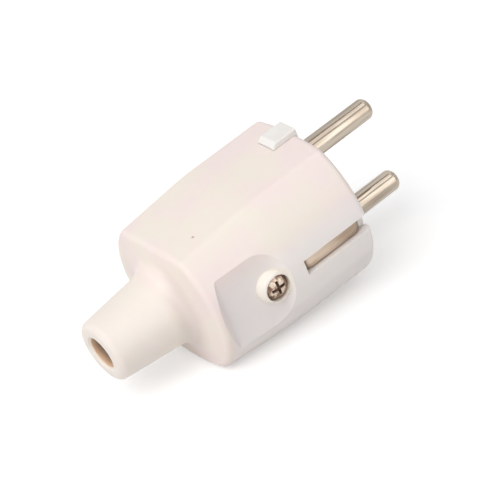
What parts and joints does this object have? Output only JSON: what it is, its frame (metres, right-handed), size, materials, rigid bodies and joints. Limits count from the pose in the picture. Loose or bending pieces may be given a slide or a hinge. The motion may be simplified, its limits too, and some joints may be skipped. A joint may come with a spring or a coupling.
{
  "type": "two-pin earthed plug",
  "caption": "Rewirable straight earthed plug: white drum body with guide flats, side earth contacts, round pins, a side screw and a tapered cord sleeve.",
  "frame": {"origin": "centre of the flat face that meets the outlet, midway between the two pins", "axes": "+X along the pins, away from the body; +Z from the neutral pin to the line pin, through the two guide flats; -Y is the side with the housing screw"},
  "size_m": [0.0769, 0.0378, 0.0358],
  "materials": {
    "housing_plastic": "white moulded thermoplastic, soft gloss",
    "carrier_plastic": "white moulded thermosetting plastic, slightly cooler",
    "pin_nickel": "bright nickel plating on solid brass",
    "strap_metal": "thin nickel plating on brass strip, warm tone",
    "screw_nickel": "nickel-plated steel, slightly tarnished",
    "zinc_steel": "zinc-plated steel"
  },
  "bodies": {
    "root": {"housing": "housing_plastic", "contact_carrier": "carrier_plastic", "carrier_back_cover": "carrier_plastic", "carrier_cover_screws": "zinc_steel", "line_pin": "pin_nickel", "neutral_pin": "pin_nickel", "line_terminal_screw": "screw_nickel", "neutral_terminal_screw": "screw_nickel", "earth_strap": "strap_metal", "earth_terminal_screw": "screw_nickel", "earth_terminal_washer": "strap_metal", "earth_terminal_nut": "zinc_steel", "cord_clamp_bar": "carrier_plastic", "cord_clamp_screws": "zinc_steel", "cord_clamp_nuts": "zinc_steel", "housing_screw": "screw_nickel", "housing_screw_nut": "zinc_steel"}
  },
  "joints": []
}
